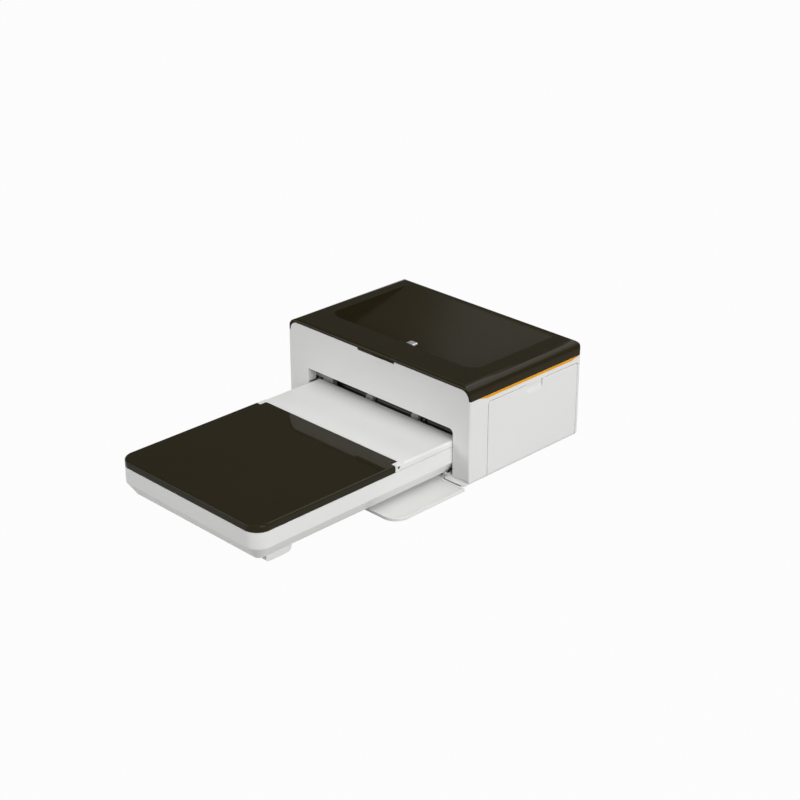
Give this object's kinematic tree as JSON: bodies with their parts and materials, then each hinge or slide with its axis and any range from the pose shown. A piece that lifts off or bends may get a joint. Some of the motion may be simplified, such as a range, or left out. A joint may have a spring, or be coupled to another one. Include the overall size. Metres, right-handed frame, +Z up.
{
  "type": "compact photo printer",
  "caption": "Compact photo printer with a phone recess and plug in its black lid, a pull-out paper tray with a hinged cover, a side ribbon door and a front flap.",
  "frame": {"origin": "bottom centre of the whole printer's box, on the table, with the tray in its rest place", "axes": "+Z up, +Y from the tray's outer end to the body's rear, +X to the side with the ribbon door"},
  "size_m": [0.1658, 0.267, 0.0689],
  "materials": {
    "white_shell": "semi-gloss off-white shell",
    "black_gloss": "polished near-black, slightly olive",
    "accent_yellow": "satin amber yellow",
    "grey_plastic": "satin mid grey",
    "dark_plastic": "satin charcoal",
    "gear_plastic": "natural acetal",
    "steel": "bright zinc-plated",
    "rubber_dark": "matt black rubber",
    "rubber_grey": "matt grey rubber",
    "board": "green solder resist",
    "head_metal": "bead-blasted heat sink",
    "paper": "coated print paper",
    "film": "dye film"
  },
  "bodies": {
    "body": {"housing": "white_shell", "base_plate": "white_shell", "rear_panel": "white_shell", "top_lid": "black_gloss", "accent_strip_right": "accent_yellow", "accent_strip_left": "accent_yellow", "flap_hinge_pins": "steel", "dock_block": "dark_plastic", "dock_plug": "steel", "dc_jack": "dark_plastic", "usb_port": "steel", "main_board": "board", "rubber_feet": "rubber_dark", "case_screws": "steel", "chassis_left": "steel", "chassis_right": "steel", "chassis_tie_bars": "steel", "feed_motor": "steel", "ribbon_case": "dark_plastic", "ribbon_film": "film", "ribbon_motor": "steel"},
    "tray": {"tray_base": "white_shell", "tray_plate": "white_shell", "tray_hinge_pins": "steel", "tray_feet": "white_shell", "tray_edge_guide": "grey_plastic", "lift_plate": "steel", "lift_spring": "steel", "paper_stack": "paper"},
    "tray_cover": {"tray_cover": "black_gloss"},
    "ribbon_door": {"ribbon_door": "white_shell"},
    "front_flap": {"front_flap": "white_shell"},
    "power_button": {"power_button": "dark_plastic"},
    "capstan": {"capstan_roller": "steel", "capstan_gear": "gear_plastic"},
    "pickup": {"pickup_shaft": "dark_plastic", "pickup_rollers": "rubber_grey", "pickup_gear": "gear_plastic"},
    "idler": {"idler_gear": "gear_plastic"},
    "motor_rotor": {"motor_pinion": "steel"},
    "pinch": {"pinch_roller": "steel"},
    "platen": {"platen_roller": "rubber_dark"},
    "takeup": {"takeup_spool": "grey_plastic", "takeup_gear": "gear_plastic"},
    "ribbon_rotor": {"ribbon_pinion": "steel"},
    "supply": {"supply_spool": "grey_plastic"},
    "head": {"head_bracket": "steel", "print_head": "head_metal"}
  },
  "joints": [
    {"name": "tray_slide", "type": "slide", "parent": "body", "child": "tray", "axis": [0, -1, 0], "range_m": [0, 0.042]},
    {"name": "tray_cover_hinge", "type": "hinge", "parent": "tray", "child": "tray_cover", "pos_m": [0, -0.01945, 0.0272], "axis": [-1, 0, 0], "range_deg": [0, 98]},
    {"name": "ribbon_door_hinge", "type": "hinge", "parent": "body", "child": "ribbon_door", "pos_m": [0.0799, 0.08715, 0.0055], "axis": [0, 1, 0], "range_deg": [0, 90]},
    {"name": "front_flap_hinge", "type": "hinge", "parent": "body", "child": "front_flap", "pos_m": [0, 0.02825, 0.0037], "axis": [-1, 0, 0], "range_deg": [0, 2]},
    {"name": "power_press", "type": "slide", "parent": "body", "child": "power_button", "axis": [0, -1, 0], "range_m": [0, 0.001], "stiffness_N_per_m": 400},
    {"name": "capstan_spin", "type": "hinge", "parent": "body", "child": "capstan", "pos_m": [0, 0.05465, 0.0295], "axis": [1, 0, 0], "continuous": true},
    {"name": "pickup_spin", "type": "hinge", "parent": "body", "child": "pickup", "pos_m": [0, 0.04315, 0.02486], "axis": [1, 0, 0], "continuous": true},
    {"name": "idler_spin", "type": "hinge", "parent": "body", "child": "idler", "pos_m": [0, 0.07357, 0.02626], "axis": [1, 0, 0], "continuous": true},
    {"name": "motor_spin", "type": "hinge", "parent": "body", "child": "motor_rotor", "pos_m": [0, 0.08315, 0.0155], "axis": [1, 0, 0], "continuous": true},
    {"name": "pinch_spin", "type": "hinge", "parent": "body", "child": "pinch", "pos_m": [0, 0.05465, 0.0361], "axis": [1, 0, 0], "continuous": true},
    {"name": "platen_spin", "type": "hinge", "parent": "body", "child": "platen", "pos_m": [0, 0.09315, 0.0273], "axis": [1, 0, 0], "continuous": true},
    {"name": "takeup_spin", "type": "hinge", "parent": "body", "child": "takeup", "pos_m": [0, 0.06715, 0.0435], "axis": [1, 0, 0], "continuous": true},
    {"name": "ribbon_motor_spin", "type": "hinge", "parent": "body", "child": "ribbon_rotor", "pos_m": [0, 0.08155, 0.0435], "axis": [1, 0, 0], "continuous": true},
    {"name": "supply_spin", "type": "hinge", "parent": "body", "child": "supply", "pos_m": [0, 0.11715, 0.0435], "axis": [1, 0, 0], "continuous": true},
    {"name": "head_lift", "type": "hinge", "parent": "body", "child": "head", "pos_m": [0, 0.10475, 0.047], "axis": [-1, 0, 0], "range_deg": [0, 4]}
  ],
  "couplings": [
    {"joint": "pickup_spin", "follows": "capstan_spin", "ratio": -1.0667},
    {"joint": "idler_spin", "follows": "capstan_spin", "ratio": -1},
    {"joint": "motor_spin", "follows": "capstan_spin", "ratio": 2},
    {"joint": "pinch_spin", "follows": "capstan_spin", "ratio": -1.6667},
    {"joint": "platen_spin", "follows": "capstan_spin", "ratio": 0.66667},
    {"joint": "ribbon_motor_spin", "follows": "takeup_spin", "ratio": -2},
    {"joint": "supply_spin", "follows": "takeup_spin", "ratio": 0.78125}
  ]
}
